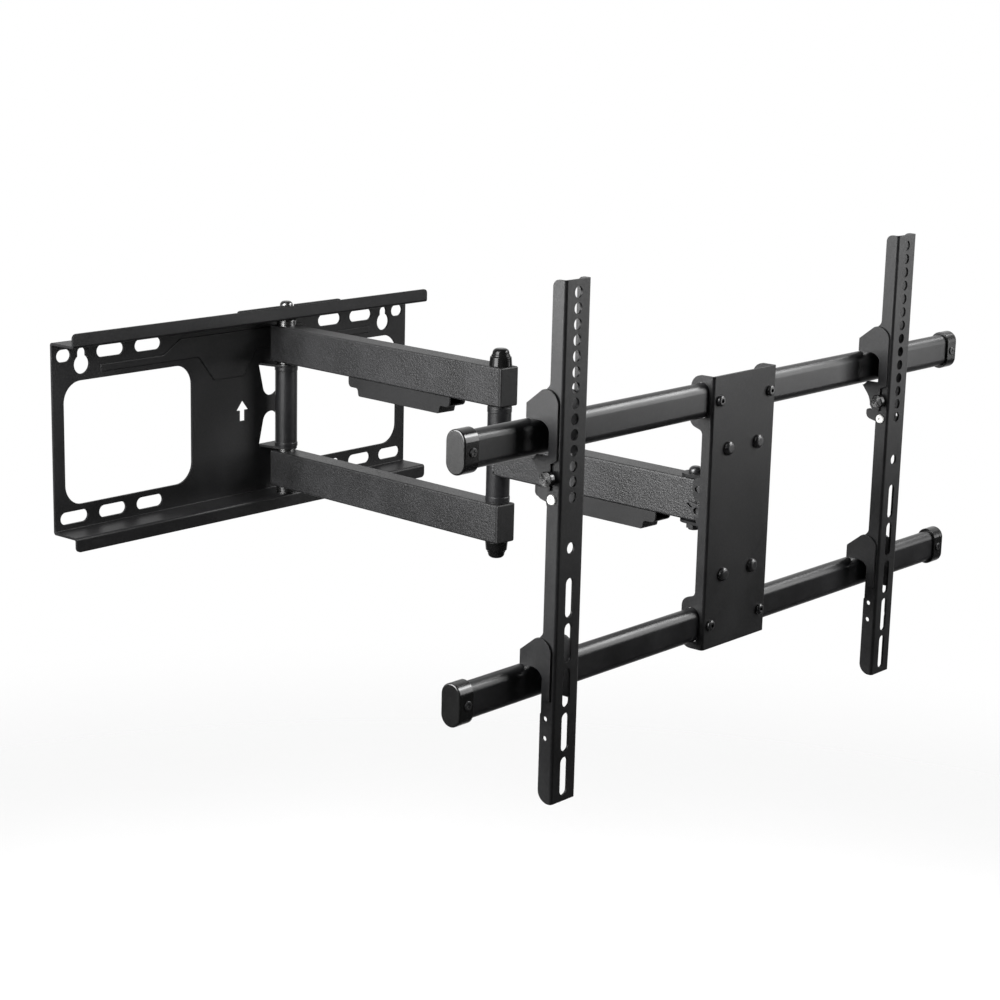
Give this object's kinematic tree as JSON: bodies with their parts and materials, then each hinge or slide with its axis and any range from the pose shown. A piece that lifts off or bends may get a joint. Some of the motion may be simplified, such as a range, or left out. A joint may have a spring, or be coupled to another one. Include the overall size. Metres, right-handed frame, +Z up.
{
  "type": "full motion tv wall mount",
  "caption": "Full-motion wall mount for a television: slotted wall plate, folding arms, tilting head with two rails and slotted uprights.",
  "frame": {"origin": "middle of the wall plate's back face, which is also the centre of its two rows of slots", "axes": "+X along the wall to the right as seen from the room, +Y into the wall, +Z up"},
  "size_m": [0.77, 0.675, 0.443],
  "materials": {
    "black_steel": "satin fine-textured black powder coat",
    "rail_steel": "smooth semi-gloss black paint",
    "black_fastener": "black-oxide finish",
    "bright_steel": "plain zinc-plated steel",
    "cap_plastic": "glossy black moulded plastic",
    "plug_plastic": "fine matt black moulded plastic",
    "clip_plastic": "matt black moulded plastic",
    "bush_plastic": "black nylon",
    "white_nylon": "white nylon"
  },
  "bodies": {
    "wall": {"wall_plate": "black_steel", "top_brace": "black_steel", "bottom_brace": "black_steel", "wall_pivot_bolt": "bright_steel", "wall_pivot_nut": "bright_steel", "wall_pivot_sleeve": "rail_steel", "wall_pivot_shims": "bright_steel"},
    "arm": {"upper_arm_tube": "black_steel", "lower_arm_tube": "black_steel", "wall_end_plugs": "plug_plastic", "elbow_end_plugs": "plug_plastic", "arm_bushes": "bright_steel", "elbow_bolt": "bright_steel", "elbow_nut": "bright_steel", "elbow_caps": "cap_plastic", "arm_cable_clip": "clip_plastic"},
    "forearm": {"elbow_tube": "rail_steel", "elbow_bushes": "bush_plastic", "forearm_tube": "black_steel", "forearm_end_plug": "plug_plastic", "wrist_bush": "bush_plastic", "forearm_cable_clip": "clip_plastic"},
    "swivel": {"swivel_bracket": "black_steel", "swivel_bolt": "black_fastener", "swivel_nut": "black_fastener", "guide_screws": "black_fastener"},
    "head": {"tilt_bracket": "black_steel", "tilt_bolt": "black_fastener", "tilt_washer": "bright_steel", "centre_plate": "black_steel", "head_bolts": "black_fastener", "head_nuts": "black_fastener", "rail_screws": "black_fastener", "upper_rail": "rail_steel", "lower_rail": "rail_steel", "rail_caps": "cap_plastic", "cap_screws": "black_fastener"},
    "tilt_clamp": {"tilt_lever": "black_fastener"},
    "left_upright": {"left_upright": "black_steel", "left_upper_hook": "black_steel", "left_lower_hook": "black_steel", "left_upper_catch": "black_steel", "left_lower_catch": "black_steel", "left_lock_nut": "black_fastener", "left_lock_tongue": "clip_plastic", "left_stop_bead": "white_nylon"},
    "left_lock": {"left_lock_knob": "black_fastener"},
    "right_upright": {"right_upright": "black_steel", "right_upper_hook": "black_steel", "right_lower_hook": "black_steel", "right_upper_catch": "black_steel", "right_lower_catch": "black_steel", "right_lock_nut": "black_fastener", "right_lock_tongue": "clip_plastic", "right_stop_bead": "white_nylon"},
    "right_lock": {"right_lock_knob": "black_fastener"}
  },
  "joints": [
    {"name": "wall_swivel", "type": "hinge", "parent": "wall", "child": "arm", "pos_m": [0.0426, -0.027, 0], "axis": [0, 0, 1], "range_deg": [-86, 93]},
    {"name": "elbow", "type": "hinge", "parent": "arm", "child": "forearm", "pos_m": [0.0216, -0.35533, 0], "axis": [0, 0, -1], "range_deg": [-85, 85]},
    {"name": "head_swivel", "type": "hinge", "parent": "forearm", "child": "swivel", "pos_m": [0.0105, -0.60658, 0], "axis": [0, 0, 1], "range_deg": [-60, 60]},
    {"name": "head_tilt", "type": "hinge", "parent": "swivel", "child": "head", "pos_m": [0.017, -0.634, -0.0035], "axis": [1, 0, 0], "range_deg": [-5, 15]},
    {"name": "tilt_clamp_turn", "type": "hinge", "parent": "head", "child": "tilt_clamp", "pos_m": [-0.019, -0.634, -0.0035], "axis": [1, 0, 0], "continuous": true},
    {"name": "left_upright_slide", "type": "slide", "parent": "head", "child": "left_upright", "axis": [1, 0, 0], "range_m": [-0.064, 0.205]},
    {"name": "right_upright_slide", "type": "slide", "parent": "head", "child": "right_upright", "axis": [1, 0, 0], "range_m": [-0.158, 0.115]},
    {"name": "left_lock_turn", "type": "hinge", "parent": "left_upright", "child": "left_lock", "pos_m": [-0.2785, -0.667, 0.0715], "axis": [1, 0, 0], "continuous": true},
    {"name": "right_lock_turn", "type": "hinge", "parent": "right_upright", "child": "right_lock", "pos_m": [0.2303, -0.667, 0.0715], "axis": [1, 0, 0], "continuous": true}
  ]
}
